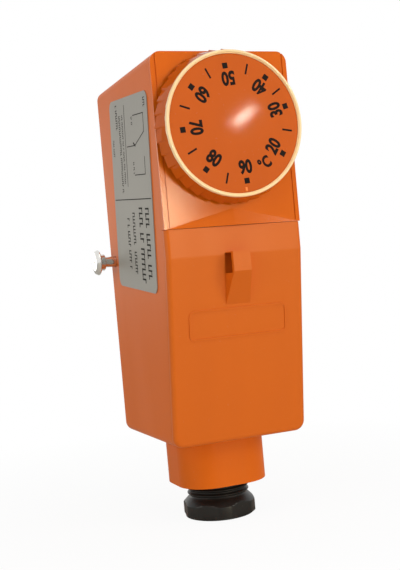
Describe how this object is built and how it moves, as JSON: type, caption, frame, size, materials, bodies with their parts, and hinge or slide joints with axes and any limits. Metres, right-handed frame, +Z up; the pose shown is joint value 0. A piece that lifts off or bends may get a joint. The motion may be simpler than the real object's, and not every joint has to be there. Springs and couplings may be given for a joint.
{
  "type": "surface thermostat",
  "caption": "Pipe surface thermostat: moulded case with a ribbed setting knob, hinged lower cover, cable gland, strap studs and a bimetal switch drive",
  "frame": {"origin": "middle of the contact face of the sensing plate, which lies on the pipe", "axes": "X to the right seen from the front, Y from the front to the pipe, Z up from the cable gland to the knob"},
  "size_m": [0.0534, 0.0603, 0.1314],
  "materials": {
    "case": "moulded",
    "cover": "moulded",
    "knob": "moulded",
    "ring": "moulded",
    "stud": "plated",
    "label": "printed film",
    "gland": "moulded",
    "washer": "zinc plated",
    "seal": "moulded",
    "plate": "zinc plated",
    "sensing": "milled",
    "screw": "zinc plated",
    "rivet": "upset",
    "bimetal": "rolled",
    "chassis": "zinc plated",
    "brass": "turned",
    "steel": "turned",
    "spring": "wound",
    "phenolic": "moulded",
    "plunger": "moulded",
    "block": "moulded"
  },
  "bodies": {
    "case": {"housing": "case", "strap_stud_left": "stud", "strap_stud_right": "stud", "label": "label", "back_plate": "plate", "sensing_plate": "sensing", "plate_screw_top_left": "screw", "plate_screw_foot_left": "screw", "plate_screw_top_right": "screw", "plate_screw_foot_right": "screw", "bimetal_rivet_foot": "rivet", "bimetal_rivet_top": "rivet", "sensing_rivet_foot": "rivet", "sensing_rivet_top": "rivet", "bimetal_strip": "bimetal", "calibration_screw": "brass", "chassis": "chassis", "chassis_screw_top_left": "screw", "chassis_screw_foot_left": "screw", "chassis_screw_top_right": "screw", "chassis_screw_foot_right": "screw", "spindle_bush": "brass", "pivot_pin": "steel", "switch_case": "phenolic", "switch_screw_left": "screw", "switch_screw_right": "screw", "terminal_block": "block", "terminal_clamp_left": "brass", "terminal_clamp_middle": "brass", "terminal_clamp_right": "brass", "terminal_screw_left": "screw", "terminal_screw_middle": "screw", "terminal_screw_right": "screw", "earth_clamp": "brass", "earth_screw": "screw"},
    "setting_knob": {"knob": "knob", "dial_ring": "ring", "spindle": "steel", "spindle_clip": "spring"},
    "range_nut": {"spring_nut": "brass", "range_spring": "spring"},
    "lever_arm": {"lever": "chassis"},
    "plunger": {"switch_plunger": "plunger"},
    "front_cover": {"lower_cover": "cover"},
    "packing": {"gland_washer": "washer", "gland_seal": "seal"},
    "gland": {"gland_screw": "gland"}
  },
  "joints": [
    {"name": "knob_turn", "type": "hinge", "parent": "case", "child": "setting_knob", "pos_m": [0, -0.0532, 0.0325], "axis": [0, -1, 0], "range_deg": [0, 309]},
    {"name": "nut_slide", "type": "slide", "parent": "case", "child": "range_nut", "axis": [0, -1, 0], "range_m": [0, 0.000605]},
    {"name": "lever_tilt", "type": "hinge", "parent": "case", "child": "lever_arm", "pos_m": [0, -0.015, 0.018], "axis": [-1, 0, 0], "range_deg": [0, 3], "stiffness_Nm_per_rad": 0.01, "springref_deg": -9.74},
    {"name": "plunger_slide", "type": "slide", "parent": "case", "child": "plunger", "axis": [0, -1, 0], "range_m": [0, 0.00048]},
    {"name": "cover_tilt", "type": "hinge", "parent": "case", "child": "front_cover", "pos_m": [0, -0.04241, -0.05195], "axis": [1, 0, 0], "range_deg": [0, 80]},
    {"name": "packing_slide", "type": "slide", "parent": "case", "child": "packing", "axis": [0, 0, 1], "range_m": [0, 0.00282]},
    {"name": "gland_turn", "type": "hinge", "parent": "packing", "child": "gland", "pos_m": [0, -0.0239, -0.07], "axis": [0, 0, 1], "range_deg": [0, 720]}
  ],
  "couplings": [
    {"joint": "nut_slide", "follows": "knob_turn", "m_per_rad": 0.00011141},
    {"joint": "plunger_slide", "follows": "lever_tilt", "m_per_rad": 0.009},
    {"joint": "packing_slide", "follows": "gland_turn", "m_per_rad": 0.00022457}
  ]
}
